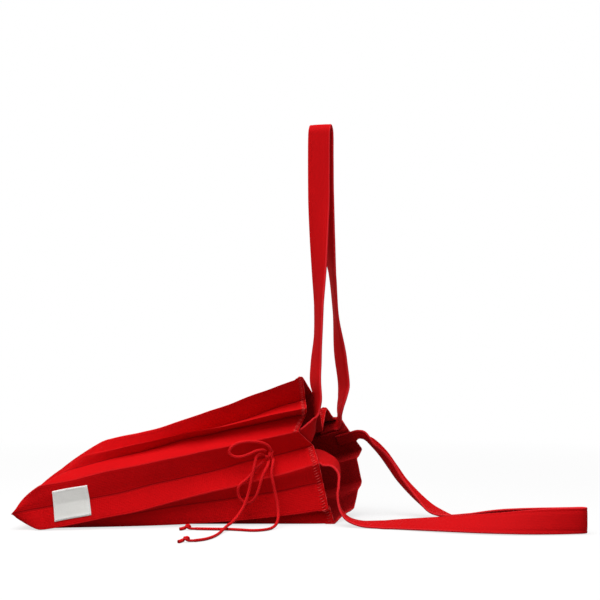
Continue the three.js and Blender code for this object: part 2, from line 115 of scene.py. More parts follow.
# How the pressed cloth gives: the folds are rounded and sway, and the facets wave. A noise has its scale
# from fold to fold, along the bag and across a facet.
FOLD_ROUND = 1.5
FOLD_SWAY = 2
SWAY_NOISE = Vector((5.7, 7, 11))
SLACK = 0.7
BOTTOM_SLACK = 0.8
BOTTOM_REACH = 0.3
MOUTH_SLACK = 0.5
MOUTH_REACH = 0.15
BULGE = 0.25
WAVE = 0.9
WAVE_NOISE = Vector((7.3, 5.5, 1.4))
RIPPLE = 0.35
RIPPLE_NOISE = Vector((3.1, 17, 2.2))
RIPPLE_SEED = Vector((40, 0, 0))

# Columns of points across a facet: those close to a fold, one at a reach that a narrow facet limits to a
# share of its width, and those at shares of its width. Then the rings of points round the bag.
FOLD_COLUMNS = (0, 0.8, 1.8)
FOLD_REACH = 4
FOLD_SHARE = 0.2
MIDDLE_COLUMNS = (0.3, 0.5, 0.7)
FACET_COLUMNS = 2 * len(FOLD_COLUMNS) + 1 + len(MIDDLE_COLUMNS)
COLUMNS = FOLDS * FACET_COLUMNS
SHOULDER_RINGS = 14
WALL_RINGS = 54
HEM_RINGS = 6
LINING_RINGS = 40

# How far from a fold a ridge's painted highlight and a valley's painted shade reach, and the narrowest
# facet whose own width counts for that
FOLD_SHADING_REACH = 1.8
LEAST_MARKED = 6

# The straps. A section has rounded edges, with each point's inset and its share of the half thickness, a
# sewn groove beside each edge, and a face with points at shares of the half width.
STRAP_WIDTH = 25
STRAP_THICKNESS = 2.4
STRAP_SEWN = 16
STRAP_CLEARANCE = 0.6
STRAP_STEPS = 8
STRAP_EDGE = ((0, 0.35), (0.35, 0.8), (1, 1))
# Points at each edge of a strap's section that get a painted highlight
EDGE_HIGHLIGHT_POINTS = 2
GROOVE_INSET = 2.8
GROOVE_HALF_WIDTH = 0.7
GROOVE_DEPTH = 0.3
STRAP_FACE = (0.45, 0.15, -0.15, -0.45)
STRAP_CROWN = 0.1
# How many places past a sewn end its painted shade takes to fade out
SEWN_SHADE_FADE = 1.5
SEWN_PLACE = 0.37
NEAR_SEWN_INSET = 10
LOWER_NEAR_WIDTH = 22
FAR_SEWN_WIDTH = 14
FAR_SEWN_INSET = 12
UPPER_FAR_PLACE = 0.33
LOWER_FAR_PLACE = 0.26

# Each place on a handle between its sewn ends: the middle of the strap, the direction across it, and its
# width where it is narrower than elsewhere
UPPER_HANDLE = [
    ((5, -19.6, 87.8), (-0.45, -0.7, 0.55)), ((9.2, -18, 92.3), (-0.36, -0.8, 0.5)),
    ((12.8, -15.5, 97), (-0.22, -0.88, 0.42)), ((15.2, -12.5, 102.5), (0, -0.95, 0.3)),
    ((16.8, -11, 109.5), (0.18, -0.97, 0.15)), ((17.1, -11, 117), (0.24, -0.96, 0.06)),
    ((17.9, -12.5, 126), (0.28, -0.95, 0)), ((15.7, -11.5, 143), (0.4, -0.92, 0)),
    ((16.4, -8.5, 162), (0.38, -0.92, 0)), ((18.5, -8.5, 190), (0.28, -0.96, 0)),
    ((19.2, -7, 220), (0.33, -0.94, 0)), ((19.5, -3, 255), (0.55, -0.83, 0)),
    ((19.3, 2, 290), (0.72, -0.69, 0)), ((19.3, 7, 330), (0.86, -0.5, 0)),
    ((19.3, 10, 370), (0.88, -0.47, 0)), ((19.5, 11, 392), (0.88, -0.47, 0)),
    ((20, 11.8, 400), (0.88, -0.47, 0)), ((21.3, 14.5, 404), (0.88, -0.47, 0)),
    ((22.8, 17.4, 400), (0.88, -0.47, 0)), ((23.3, 18.4, 392), (0.88, -0.47, 0)),
    ((23.4, 19.5, 370), (0.88, -0.47, 0)), ((24.5, 21.5, 330), (0.83, -0.55, 0)),
    ((28.5, 25, 285), (0.58, -0.81, 0)), ((33.5, 30, 252), (0.22, -0.97, 0)),
    ((37, 39, 213), (0.14, -0.99, 0)), ((42.5, 48, 165), (0.45, -0.89, 0)),
    ((45.9, 49, 135), (0.42, -0.9, 0)), ((44.6, 47.3, 124), (0.3, -0.95, -0.05)),
    ((42.6, 46.6, 115), (0.2, -0.96, -0.2), 23), ((41.5, 46.6, 107.5), (0.15, -0.93, -0.33), 20),
    ((41.4, 47.2, 102), (0.15, -0.9, -0.42), 17), ((40.7, 49.4, 97.4), (0.18, -0.85, -0.48), 14),
    ((38.7, 52.4, 94.4), (0.28, -0.81, -0.5), 14),
]
LOWER_HANDLE = [
    ((20, -19.2, 66.8), (0.12, -0.82, -0.55), 22), ((27.5, -20.8, 63), (0.02, -0.87, -0.49)),
    ((34.5, -24.5, 57.5), (0, -0.95, -0.3)), ((38.5, -29, 49), (0, -1, -0.05)),
    ((38.3, -33, 39), (0, -1, 0)), ((37.5, -36, 29), (0, -1, 0)),
    ((40, -38.5, 17), (0, -1, 0)), ((47.5, -43, 8), (0, -1, -0.05)),
    ((60, -49, 3.6), (0.1, -0.98, -0.08)), ((80, -56, 3.2), (0.1, -0.98, -0.12)),
    ((99, -64, 4.6), (-0.2, -0.94, -0.24)), ((144, -87.5, 7.8), (-0.4, -0.78, -0.48)),
    ((192, -105.5, 10.6), (-0.15, -0.68, -0.72)), ((236, -110.5, 12.7), (0, -0.35, -0.94)),
    ((264, -109, 13.3), (0, -0.12, -0.99)), ((271.5, -107.8, 13.4), (0, 0, -1)),
    ((275, -104.5, 13.4), (0, 0, -1)), ((271.5, -101.2, 13.4), (0, 0, -1)),
    ((262, -100.5, 13.3), (0, 0.1, -0.99)), ((236, -96, 12.8), (0.05, 0.25, -0.97)),
    ((206, -78, 11.3), (0.3, 0.45, -0.82)), ((178, -42, 7.4), (0.66, 0.58, -0.45)),
    ((154.5, -6, 4.4), (0.75, 0.63, -0.2)), ((141, 14, 6), (0.72, 0.68, -0.1)),
    ((127, 31, 14.5), (0.52, 0.83, -0.2)), ((105.5, 51, 36.3), (0.28, 0.94, -0.22)),
    ((96, 56.5, 49.8), (0.22, 0.95, -0.22)), ((86.8, 59, 62.5), (0.22, 0.97, -0.12)),
    ((76.5, 57.5, 73.5), (0.28, 0.95, -0.12)), ((67.5, 54.5, 80.8), (0.34, 0.82, -0.45), 20),
    ((61, 52, 83.3), (0.42, 0.62, -0.66), 14),
]

# The lower handle is cupped where it comes down from the far gusset: the first and the last place of that
# stretch, counted from the sewn end, and how far its edges curl up
LOWER_CUP = (23.5, 32.5, 7.5)

# The label, from start to end as shares of the bag's length. It bridges the near gusset's crease, and its
# middle is a drop below it.
LABEL_START = 0.164
LABEL_END = 0.278
LABEL_HALF_HEIGHT = 15.5
LABEL_DROP = 1.2
LABEL_THICKNESS = 0.8
LABEL_SLANT = 0.1
LABEL_LIFT = 0.3
LABEL_BRIDGE = 13
LABEL_EDGE = 3
LABEL_COLUMNS = 24
LABEL_ROWS = 18
LABEL_END_ROWS = (0, 0.012, 0.03)
LABEL_FOLDED = 0.09
LABEL_FOLD = 0.3
LABEL_END_THIN = 0.55
LABEL_SIDE_THIN = 0.6
LABEL_PULL = 0.25
LABEL_NOISE = Vector((5, 1 / 9, 3))

# Stitches. Each has three places, with a radius as a share of the thread's thickness. On the label they
# have a share of the stitches' distance and a lift off it. On the hem they have an inset from the rim, a
# lift off the hem and a lean along the facet.
STITCH_SIDES = 5
STITCH_RADII = (0.35, 0.5, 0.35)
STITCH_SPAN = (0.2, 0.525, 0.85)
LABEL_THREAD = 0.45
LABEL_STITCH_INSET = 1.6
LONG_EDGE_STITCHES = 14
LONG_EDGE_LIFTS = (0.1, 0.4, 0.1)
SHORT_EDGE_STITCHES = 11
SHORT_EDGE_LIFTS = (0.4, 0.7, 0.4)
HEM_THREAD = 0.9
HEM_STITCH = ((6.2, 0.1, -0.8), (3.7, 0.5, 0), (1.2, 0.1, 0.8))
HEM_STITCH_DISTANCE = 3
HEM_STITCH_LOWEST = 0.3
RIM_THREAD_DEPTH = 0.2
RIM_THREAD_PLACES = (0.05, 0.35, 0.65, 0.95)
RIM_THREAD_LOWEST = 0.4

# The tie cord, each stretch from the bow's knot
CORD_DIAMETER = 3
CORD_SIDES = 12
CORD_STEPS = 6
TIE_STEM = [(-30, -25.6, 68), (-30, -28.5, 68.5), (-30, -31.4, 69)]
UPPER_LOOP = [
    (-29, -40, 75.2), (-31, -42.5, 79), (-36, -46, 82.6), (-46.6, -49, 84.6), (-60.6, -51, 83.4),
    (-68, -51.5, 79), (-70, -51.5, 74.3), (-66.4, -51, 70.4), (-59, -50.5, 69.6), (-50, -50, 72.4),
    (-43, -48.5, 75.4), (-37, -45, 76), (-34.4, -41.6, 74.6),
]
LOWER_LOOP = [
    (-31, -41, 64.2), (-32.3, -45, 60.1), (-35.2, -49, 54.9), (-37.6, -51, 48.7), (-40, -52, 40.5),
    (-42.5, -52, 33.2), (-46.7, -50, 26.3), (-52.1, -47.8, 23.3), (-57.6, -48, 26), (-61, -49, 31.9),
    (-61, -50.6, 38.7), (-58.2, -50.4, 43.2), (-53.3, -48, 46.8), (-47.7, -45.5, 52.6), (-41.8, -43, 59.3),
    (-36.5, -40.5, 64),
]
FRONT_TAIL = [
    (-36.2, -38.4, 70), (-39.5, -42.5, 71.5), (-43, -47, 69.5), (-45.4, -50, 60), (-47.9, -51.5, 48.7),
    (-49.9, -52.2, 38.8), (-52, -53, 30.7), (-55.6, -55, 21), (-60.4, -59.5, 13.5), (-65.5, -68, 8),
    (-70.5, -79, 5.2), (-74, -92, 3.2), (-77.2, -109, 1.7), (-82, -135, 1.6), (-89, -153, 1.6),
    (-97.5, -163, 1.7),
]
REAR_TAIL = [
    (-26.5, -40.2, 66.4), (-27, -44, 62), (-28.2, -48, 53.3), (-26.6, -49, 43.4), (-24.5, -49, 33.5),
    (-22.4, -50, 23.7), (-21.5, -53.5, 13.5), (-22.5, -60.5, 6), (-27, -72, 2.2), (-36, -85, 1.6),
    (-46, -89, 1.6), (-58, -84, 1.6), (-70, -79.5, 1.6), (-86, -78, 1.6), (-102, -76.5, 1.7),
]

# The knots. The bow's is a cord wound round two strands, whose places are given from its middle. An end
# knot's places are given ahead of its middle, aside and up, and its last ones are the cord's thicker tip.
BOW_KNOT_AT = Vector((-30, -36, 69.5))
WRAP_POINTS = 19
WRAP_START = -120
WRAP_TURN = 30
WRAP_ASIDE = -1.6
WRAP_SWING = 1.5
WRAP_PITCH = 0.2
WRAP_DEPTH = 3.1
WRAP_HEIGHT = 3.9
BOW_CROSS = [(2.4, -2.2, 4.2), (0.5, -3.6, 1.5), (-2, -3.9, -0.6), (-4.6, -3, -0.4)]
BOW_CROSS_DIAMETER = 2.9
BOW_CORE = [(2.6, -1, 5), (1, -0.6, 1.5), (0.2, -0.8, -2), (-1, -2, -5)]
BOW_CORE_DIAMETER = 3.4
FRONT_KNOT_AT = Vector((-105.2, -165.6, 2.9))
REAR_KNOT_AT = Vector((-109.2, -76.4, 2.9))
END_KNOT = [
    (-7.4, 0, -1.2), (-4.2, 0.4, -1.1), (-1.2, 1.5, -0.6), (1.2, 1.7, 0.9), (1.7, -0.4, 1.9),
    (0.4, -1.9, 0.9), (-1.3, -1.6, -0.8), (-1.8, 0.3, 0.2), (-1.5, 1.2, 1.7), (-0.2, 0.2, 2.2),
    (1.1, -1.3, 1.2), (2.6, -1.2, -0.3), (4.6, -0.4, -0.9), (6.8, 0.8, -1.3), (8.2, 1.4, -1.4),
]
END_KNOT_DIAMETER = 2.6
TIP_POINTS = 4
TIP_DIAMETER = 3.5

# The camera, the floor and the light, in metres, watts and degrees. The floor glows by a share that grows
# from near the bag to far from it. A lamp has a name, a power, a size, a place and a turn.
CAMERA_AT = (0, -1.834, 0.225)
CAMERA_LENS = 108
CAMERA_SENSOR = 36
FLOOR_SIZE = 40
FLOOR_NEAR = 0.4
FLOOR_FAR = 1.1
FLOOR_GLOW = 0.74
ROOM_LIGHT = 0.27
LAMPS = [
    ("overhead_lamp", 48, 2.0, (-0.3, -0.6, 2.0), (17, -8, 0)),
    ("front_lamp", 11, 1.4, (-0.6, -2.4, 1.5), (60, 0, -14)),
]


# Shared ways of working

def linear(colour):
    """The linear colour of an sRGB hex value."""
    parts = [int(colour[place:place + 2], 16) / 255 for place in (1, 3, 5)]
    return tuple(p / 12.92 if p <= 0.04045 else ((p + 0.055) / 1.055) ** 2.4 for p in parts) + (1,)


def add(tree, kind, sockets=None, **settings):
    """Adds a node with its settings, and gives its sockets a value or a link."""
    node = tree.nodes.new(kind)
    for name, value in settings.items():
        setattr(node, name, value)
    for name, value in (sockets or {}).items():
        if isinstance(value, bpy.types.NodeSocket):
            tree.links.new(value, node.inputs[name])
        else:
            node.inputs[name].default_value = value
    return node


def new_material(name):
    material = bpy.data.materials.new(name)
    material.use_nodes = True
    material.node_tree.nodes.clear()
    return material, material.node_tree


def evenly(first, last, steps):
    """Values from the first to the last, in even steps."""
    return [first + (last - first) * step / steps for step in range(steps + 1)]


def smooth_route(places, steps):
    """A smooth curve through the places, with the given number of steps between each two."""
    points = [Vector(place) for place in places]
    points = [points[0] * 2 - points[1]] + points + [points[-1] * 2 - points[-2]]
    route = []
    for a, b, c, d in zip(points, points[1:], points[2:], points[3:]):
        reach = [max((q - p).length ** 0.5, 0.0001) for p, q in ((a, b), (b, c), (c, d))]
        leave = (b - a) / reach[0] - (c - a) / (reach[0] + reach[1]) + (c - b) / reach[1]
        arrive = (c - b) / reach[1] - (d - b) / (reach[1] + reach[2]) + (d - c) / reach[2]
        leave *= reach[1]
        arrive *= reach[1]
        bend = b * 2 - c * 2 + leave + arrive
        swing = c * 3 - b * 3 - leave * 2 - arrive
        for step in range(steps):
            t = step / steps
            route.append(b + leave * t + swing * t * t + bend * t ** 3)
    route.append(points[-2])
    return route


def tangents(route):
    last = len(route) - 1
    return [(route[min(i + 1, last)] - route[max(i - 1, 0)]).normalized() for i in range(last + 1)]


def make_piece(name, points, faces, material, places=None, marks=None):
    """A smooth-shaded piece from points in millimetres. places gives each face corner its place on the
    flat cloth in millimetres, and marks gives each point its share of what the material draws by a name."""
    mesh = bpy.data.meshes.new(name)
    mesh.from_pydata([tuple(point * MM) for point in points], [], faces)
    if places:
        layer = mesh.uv_layers.new(name="cloth")
        layer.data.foreach_set("uv", [value for place in places for value in place])
    for mark, shares in (marks or {}).items():
        attribute = mesh.attributes.new(mark, 'FLOAT', 'POINT')
        attribute.data.foreach_set("value", shares)
    mesh.polygons.foreach_set("use_smooth", [True] * len(mesh.polygons))
    mesh.materials.append(material)
    mesh.validate()
    piece = bpy.data.objects.new(name, mesh)
    bpy.context.collection.objects.link(piece)
    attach(piece, "root")
    return piece


def loft(rings, across, capped):
    """The points of closed rings, the faces that join them one after the other, and the place of each face
    corner on the flat cloth. across gives the place of each column, with one more for the join."""
    columns = len(rings[0])
    points = [point for ring in rings for point in ring]
    run = [0.0]
    for lower, upper in zip(rings, rings[1:]):
        run.append(run[-1] + sum((b - a).length for a, b in zip(lower, upper)) / columns)
    faces = []
    places = []
    for row in range(len(rings) - 1):
        for column in range(columns):
            following = (column + 1) % columns
            lower, upper = row * columns, (row + 1) * columns
            faces.append((lower + following, lower + column, upper + column, upper + following))
            left, right = across[column], across[column + 1]
            places += [(right, run[row]), (left, run[row]), (left, run[row + 1]), (right, run[row + 1])]
    if capped:
        last = (len(rings) - 1) * columns
        faces.append(tuple(range(columns)))
        faces.append(tuple(last + column for column in reversed(range(columns))))
        places += [(across[column], run[0]) for column in range(columns)]
        places += [(across[column], run[-1]) for column in reversed(range(columns))]
    return points, faces, places


def gather(parts):
    """One set of points, faces and places from several."""
    points, faces, places = [], [], []
    for part_points, part_faces, part_places in parts:
        start = len(points)
        points += part_points
        faces += [tuple(start + index for index in face) for face in part_faces]
        places += part_places
    return points, faces, places


def tube(route, radii, sides):
    """Rings of a round tube along a route, without twist. radii gives the radius at each place."""
    heading = tangents(route)
    side = heading[0].orthogonal().normalized()
    rings = []
    for point, ahead, radius in zip(route, heading, radii):
        side = (side - ahead * side.dot(ahead)).normalized()
        up = ahead.cross(side)
        ring = []
        for step in range(sides):
            angle = -2 * math.pi * step / sides
            ring.append(point + (side * math.cos(angle) + up * math.sin(angle)) * radius)
        rings.append(ring)
    return rings


# Materials

def knit_height(tree, wale, course):
    """The height of plain knitting: columns of V-shaped stitches, wale mm wide and course mm high, that
    run along the cloth."""
    cloth = add(tree, 'ShaderNodeUVMap', uv_map="cloth").outputs[0]
    apart = add(tree, 'ShaderNodeSeparateXYZ', {0: cloth})
    leg = add(tree, 'ShaderNodeMath', {0: apart.outputs[0], 1: wale / 2}, operation='PINGPONG').outputs[0]
    round_leg = add(tree, 'ShaderNodeMath', {0: leg, 1: math.pi / wale}, operation='MULTIPLY').outputs[0]
    round_leg = add(tree, 'ShaderNodeMath', {0: round_leg}, operation='SINE').outputs[0]
    turns = add(tree, 'ShaderNodeMath', {0: apart.outputs[1], 1: 2 * math.pi / course},
                operation='MULTIPLY').outputs[0]
    slope = add(tree, 'ShaderNodeMath', {0: leg, 1: 2 * math.pi / wale, 2: turns},
                operation='MULTIPLY_ADD').outputs[0]
    loops = add(tree, 'ShaderNodeMath', {0: slope}, operation='SINE').outputs[0]
    loops = add(tree, 'ShaderNodeMath', {0: loops, 1: 0.3, 2: 0.7}, operation='MULTIPLY_ADD').outputs[0]
    return add(tree, 'ShaderNodeMath', {0: round_leg, 1: loops}, operation='MULTIPLY').outputs[0]


def finish_cloth(tree, colour, height, depth, roughness, sheen_tint, sheen=0.08, level=0.1):
    """A matt cloth: its colour, a bump of the given depth in mm, and the soft sheen of its fibres."""
    bump = add(tree, 'ShaderNodeBump', {'Height': height, 'Strength': 0.6, 'Distance': depth * MM})
    shader = add(tree, 'ShaderNodeBsdfPrincipled', {
        'Base Color': colour, 'Roughness': roughness, 'Specular IOR Level': level, 'Sheen Weight': sheen,
        'Sheen Roughness': 0.4, 'Sheen Tint': linear(sheen_tint), 'Normal': bump.outputs[0],
    })
    add(tree, 'ShaderNodeOutputMaterial', {'Surface': shader.outputs[0]})


def mottled_with_stitch_shade(tree, height, light, dark, cell):
    """The yarn's colour, uneven over cell mm, with painted shade between the stitches: light on the
    stitches and dark between them.
    """
    place = add(tree, 'ShaderNodeTexCoord').outputs['Object']
    uneven = add(tree, 'ShaderNodeTexNoise', {'Vector': place, 'Scale': 1 / (cell * MM), 'Detail': 3.0})
    # Painted shade: the lower the knit's height, the darker the colour.
    share = add(tree, 'ShaderNodeMath', {0: height, 1: 0.55, 2: uneven.outputs['Fac']},
                operation='MULTIPLY_ADD', use_clamp=True).outputs[0]
    return add(tree, 'ShaderNodeMix', {'Factor': share, 'A': linear(dark), 'B': linear(light)},
               data_type='RGBA').outputs['Result']


def pleated_polyester_knit():
    """Polyester yarn, machine-knitted and heat-pressed into pleats: a deep matt red with columns of tiny
    stitches, with painted shade between the stitches, a painted highlight along the ridges and the rim, and
    painted shade in the valleys and on the faces inside the bag. The real stitches are about 1 mm and are
    drawn 2 mm wide so that they show."""
    material, tree = new_material("pleated_polyester_knit")
    height = knit_height(tree, wale=2.0, course=1.7)
    colour = mottled_with_stitch_shade(tree, height, "#d40209", "#c00107", cell=35)
    # A painted highlight along the ridges and the rim, and painted shade in the valleys and on the faces
    # inside the bag
    fold = add(tree, 'ShaderNodeAttribute', attribute_name="fold").outputs['Fac']
    ridge, valley = (
        add(tree, 'ShaderNodeMath', {0: fold, 1: share}, operation='MULTIPLY', use_clamp=True).outputs[0]
        for share in (0.55, -0.7))
    inside = add(tree, 'ShaderNodeAttribute', attribute_name="inside").outputs['Fac']
    for share, tint in ((ridge, "#ee2026"), (valley, "#7c0006"), (inside, "#960207")):
        colour = add(tree, 'ShaderNodeMix', {'Factor': share, 'A': colour, 'B': linear(tint)},
                     data_type='RGBA').outputs['Result']
    finish_cloth(tree, colour, height, depth=0.4, roughness=0.85, sheen_tint="#ff2420")
    return material


def knit_strap_tape():
    """The same yarn knitted as a narrow flat tube and pressed: closer stitches and a cleaner face than the
    bag's, with painted shade between the stitches, a painted highlight along both edges and painted shade
    at the sewn ends. The stitches are drawn 1.6 mm wide so that they show."""
    material, tree = new_material("knit_strap_tape")
    height = knit_height(tree, wale=1.6, course=1.4)
    colour = mottled_with_stitch_shade(tree, height, "#cb030a", "#b90208", cell=50)
    # A painted highlight along both edges of the strap, and painted shade at its sewn ends
    edge = add(tree, 'ShaderNodeAttribute', attribute_name="edge").outputs['Fac']
    edge_highlight = add(tree, 'ShaderNodeMath', {0: edge, 1: 0.6}, operation='MULTIPLY', use_clamp=True).outputs[0]
    inside = add(tree, 'ShaderNodeAttribute', attribute_name="inside").outputs['Fac']
    for share, tint in ((edge_highlight, "#f23038"), (inside, "#960207")):
        colour = add(tree, 'ShaderNodeMix', {'Factor': share, 'A': colour, 'B': linear(tint)},
                     data_type='RGBA').outputs['Result']
    finish_cloth(tree, colour, height, depth=0.15, roughness=0.8, sheen_tint="#ff2a24")
    return material


def braided_polyester_cord():
    """A thin round braid: strands that cross on the slant, so its face is a fine herringbone, with painted
    shade between the strands. The strands are drawn 2.4 mm apart round the cord and 3.2 mm along it so that
    they show."""
    material, tree = new_material("braided_polyester_cord")
    strands_round = 4
    around = 2 * math.pi * strands_round / (math.pi * CORD_DIAMETER)
    along = 2 * math.pi / 3.2
    cloth = add(tree, 'ShaderNodeUVMap', uv_map="cloth").outputs[0]
    apart = add(tree, 'ShaderNodeSeparateXYZ', {0: cloth})
    turn = add(tree, 'ShaderNodeMath', {0: apart.outputs[0], 1: around}, operation='MULTIPLY').outputs[0]
    strands = []
    for lean in (along, -along):
        slant = add(tree, 'ShaderNodeMath', {0: apart.outputs[1], 1: lean, 2: turn},
                    operation='MULTIPLY_ADD').outputs[0]
        strands.append(add(tree, 'ShaderNodeMath', {0: slant}, operation='SINE').outputs[0])
    height = add(tree, 'ShaderNodeMath', {0: strands[0], 1: strands[1]}, operation='MAXIMUM').outputs[0]
    colour = mottled_with_stitch_shade(tree, height, "#e8161d", "#bd070d", cell=12)
    finish_cloth(tree, colour, height, depth=0.35, roughness=0.75, sheen_tint="#ff6a60")
    return material


def woven_label_tape():
    """White polyester tape woven on a narrow loom: a close plain weave with a faint satin light, whiter
    where the folded edges lie double. The threads are drawn 0.9 mm apart so that they show."""
    material, tree = new_material("woven_label_tape")
    cloth = add(tree, 'ShaderNodeUVMap', uv_map="cloth").outputs[0]
    weave = add(tree, 'ShaderNodeTexChecker', {'Vector': cloth, 'Scale': 1 / 0.9}).outputs['Fac']
    uneven = add(tree, 'ShaderNodeTexNoise', {'Vector': cloth, 'Scale': 0.6, 'Detail': 4.0}).outputs['Fac']
    height = add(tree, 'ShaderNodeMath', {0: weave, 1: 0.5, 2: uneven}, operation='MULTIPLY_ADD').outputs[0]
    colour = linear("#e8e8e3")
    edge = add(tree, 'ShaderNodeAttribute', attribute_name="edge").outputs['Fac']
    for share, tint in ((uneven, "#f3f2ee"), (edge, "#faf9f7")):
        colour = add(tree, 'ShaderNodeMix', {'Factor': share, 'A': colour, 'B': linear(tint)},
                     data_type='RGBA').outputs['Result']
    finish_cloth(tree, colour, height, depth=0.15, roughness=0.6, sheen_tint="#ffffff", sheen=0.05,
                 level=0.2)
    return material


def sewing_thread(name, light, dark):
    """Twisted polyester sewing thread, a little smoother and brighter than the knit. Its plies wind round
    it, so its light comes and goes, which is drawn about every 10 mm so that it shows."""
    material, tree = new_material(name)
    # Diagonal bands turn by 10 radians for each unit of x + y + z.
    scale = 2 * math.pi / (10 * 10.05 * MM)
    place = add(tree, 'ShaderNodeTexCoord').outputs['Object']
    plies = add(tree, 'ShaderNodeTexWave', {'Vector': place, 'Scale': scale},
                bands_direction='DIAGONAL').outputs['Fac']
    colour = add(tree, 'ShaderNodeMix', {'Factor': plies, 'A': linear(dark), 'B': linear(light)},
                 data_type='RGBA').outputs['Result']
    finish_cloth(tree, colour, plies, depth=0.1, roughness=0.6, sheen_tint=light, sheen=0.05, level=0.2)
    return material


# The wall of the bag

def seam_point(fold):
    """The fold's place on the bottom seam: the front panel's folds lie above the back panel's."""
    if fold == NEAR_CREASE:
        return SEAM_NEAR.copy()
    if fold == FAR_CREASE:
        return SEAM_FAR.copy()
    front = fold < FAR_CREASE
    point = SEAM_NEAR.lerp(SEAM_FAR, (fold + 1 if front else NEAR_CREASE - fold) / len(RIDGES))
    point.z += SEAM_HALF_THICKNESS if front else -SEAM_HALF_THICKNESS
    return point


def sharp_ridge(index, share):
    shoulder, rim, rise, lift_from = RIDGES[index]
    shoulder, rim = Vector(shoulder), Vector(rim)
    if share < SHOULDER:
        seam = seam_point(2 * index)
        point = seam.lerp(shoulder, share / SHOULDER)
        point.z = seam.z + (shoulder.z - seam.z) * (share / SHOULDER) ** SHOULDER_BULGE
        return point
    run = (share - SHOULDER) / (1 - SHOULDER)
    point = shoulder + (rim - shoulder) * run
    lifted = max(0, (run - lift_from) / (1 - lift_from))
    point.z = shoulder.z + (rim.z - shoulder.z) * lifted ** rise
    return point


def ridge_point(index, share):
    """A ridge with its shoulder rounded off."""
    reach = max(0, min(SHOULDER_SOFTNESS, share, 1 - share))
    around = sharp_ridge(index, share - reach) + sharp_ridge(index, share + reach)
    return (sharp_ridge(index, share) * 2 + around) / 4


def valley_point(index, share):
    """A valley keeps the facets on both sides of it near their full width."""
    shoulder, rim, grow, grow_from, lean, rim_lean, bow, ahead = VALLEYS[index]
    low = ridge_point(index, share)
    high = ridge_point((index + 1) % len(RIDGES), share)
    span = high - low
    run = max(0, (share - SHOULDER) / (1 - SHOULDER))
    grown = max(0, (run - grow_from) / (1 - grow_from)) ** grow
    depth = shoulder + (rim - shoulder) * grown
    full = math.sqrt(max(LEAST_FOLD ** 2, FACET_WIDTH ** 2 - span.length_squared / 4))
    place = lean + (rim_lean - lean) * grown + bow * 4 * run * (1 - run)
    point = low + span * place + span.cross(ALONG).normalized() * full * depth + ALONG * ahead * run
    opened = min(1, max(0, share / SHOULDER))
    opened = opened * opened * (3 - 2 * opened)
    return seam_point(2 * index + 1).lerp(point, opened)


def fold_point(fold, share):
    """A place on a fold, which sways between the seam and the rim and is straight on the floor."""
    fold %= FOLDS
    point = valley_point(fold // 2, share) if fold % 2 else ridge_point(fold // 2, share)
    free = max(0, min(1, share / SHOULDER, (1 - share) / SHOULDER, point.z / FACET_WIDTH))
    point.z += FOLD_SWAY * free * noise.noise(Vector((fold, share, 1)) * SWAY_NOISE)
    return point


def facet_inward(fold, share):
    """The direction into the bag of the facet between a fold and the next one."""
    lower = fold_point(fold, max(0, share - FACET_STEP))
    upper = fold_point(fold, min(1, share + FACET_STEP))
    return (fold_point(fold + 1, share) - fold_point(fold, share)).cross(upper - lower).normalized()


def fold_line(share, depth):
    """The folds round the bag at one share of its length, moved inward by depth, and the directions of
    the facets into the bag."""
    inward = [facet_inward(fold, share) for fold in range(FOLDS)]
    corners = []
    for fold in range(FOLDS):
        mitre = (inward[fold - 1] + inward[fold]).normalized()
        reach = 1 / max(LEAST_MITRE, mitre.dot(inward[fold]))
        corners.append(fold_point(fold, share) + mitre * depth * reach)
    return corners, inward


def facet_length(corners, fold):
    return (corners[(fold + 1) % FOLDS] - corners[fold]).length


def on_wall(corners, fold, along_facet):
    """A place on the wall, along_facet mm past a fold, with the folds rounded."""

    def sharp(distance):
        start = fold
        if distance < 0:
            start = (fold - 1) % FOLDS
            distance += facet_length(corners, start)
        elif distance > facet_length(corners, fold):
            start = (fold + 1) % FOLDS
            distance -= facet_length(corners, fold)
        return corners[start].lerp(corners[(start + 1) % FOLDS], distance / facet_length(corners, start))

    around = sharp(along_facet - FOLD_ROUND) + sharp(along_facet + FOLD_ROUND)
    point = (sharp(along_facet) * 2 + around) / 4
    point.z = max(point.z, 0)
    return point


def column_place(length, column):
    """The place of a column of points across a facet: they are close together at both folds."""
    close = [*FOLD_COLUMNS, min(FOLD_REACH, length * FOLD_SHARE)]
    if column < len(close):
        return close[column]
    if column < len(close) + len(MIDDLE_COLUMNS):
        return length * MIDDLE_COLUMNS[column - len(close)]
    return length - close[FACET_COLUMNS - column]


def slack(share, fold, across):
    """How far the cloth stands out of its flat facet, in mm: soft waves that die out at the folds."""
    place = Vector((fold, share, across))
    wave = noise.noise(place * WAVE_NOISE)
    ripple = noise.noise(place * RIPPLE_NOISE + RIPPLE_SEED)
    loose = SLACK + BOTTOM_SLACK * max(0, 1 - share / BOTTOM_REACH)
    loose += MOUTH_SLACK * max(0, 1 - (1 - share) / MOUTH_REACH)
    return math.sin(math.pi * across) * loose * (WAVE * wave + RIPPLE * ripple + BULGE)


def wall_ring(share, depth):
    """One ring of the wall's points, depth mm inside the folds."""
    corners, inward = fold_line(share, depth)
    ring = []
    for fold in range(FOLDS):
        length = facet_length(corners, fold)
        for column in range(FACET_COLUMNS):
            along_facet = column_place(length, column)
            stands = slack(min(share, 1), fold, along_facet / length)
            point = on_wall(corners, fold, along_facet) - inward[fold] * stands
            point.z = max(point.z, 0)
            ring.append(point)
    return ring


